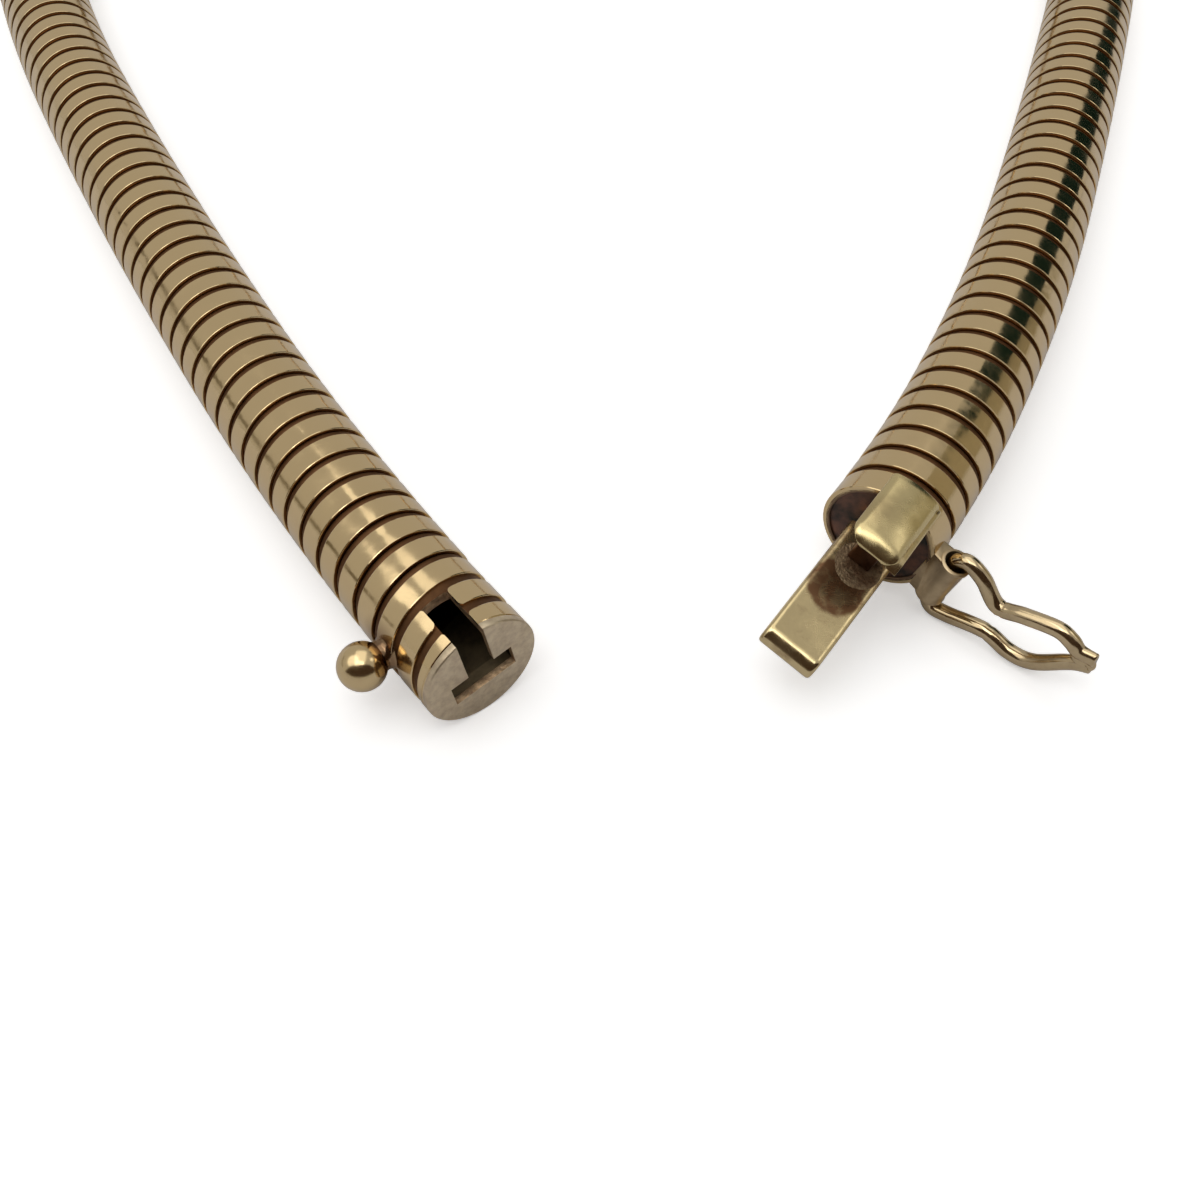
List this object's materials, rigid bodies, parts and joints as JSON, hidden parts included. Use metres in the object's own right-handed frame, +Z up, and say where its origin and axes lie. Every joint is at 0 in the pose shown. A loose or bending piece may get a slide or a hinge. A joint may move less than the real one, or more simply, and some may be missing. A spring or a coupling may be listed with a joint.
{
  "type": "snake necklace",
  "caption": "Round gas-pipe snake necklace lying open in a loop, with a folded tongue clasp, thumb tab, side ball and hinged wire safety catch.",
  "frame": {"origin": "centre of the lying necklace's box, on the surface it lies on", "axes": "+Z up from the surface, +Y from the clasp toward the back of the loop, +X toward the tongue end's side"},
  "size_m": [0.1214, 0.1804, 0.0099],
  "materials": {
    "strip_gold": "polished, lightly worn",
    "groove_gold": "tarnished",
    "clasp_gold": "satin, oxidised in places",
    "leaf_gold": "polished, stained in places",
    "wire_gold": "polished"
  },
  "bodies": {
    "necklace": {"outer_strip_left": "strip_gold", "outer_strip_right": "strip_gold", "inner_strip": "groove_gold", "socket_end": "clasp_gold", "tongue_end": "clasp_gold"},
    "press_leaf": {"press_leaf": "leaf_gold"},
    "safety_catch": {"safety_catch": "wire_gold"}
  },
  "joints": [
    {"name": "press_leaf_fold", "type": "hinge", "parent": "necklace", "child": "press_leaf", "pos_m": [0.0161, -0.08648, 0.00456], "axis": [-0.7736, 0.5458, 0.3219], "range_deg": [0, 1.7], "stiffness_Nm_per_rad": 0.5},
    {"name": "safety_catch_hinge", "type": "hinge", "parent": "necklace", "child": "safety_catch", "pos_m": [0.0266, -0.08007, 0.0036], "axis": [0.2368, -0.1506, 0.9598], "range_deg": [-84, 90]}
  ]
}
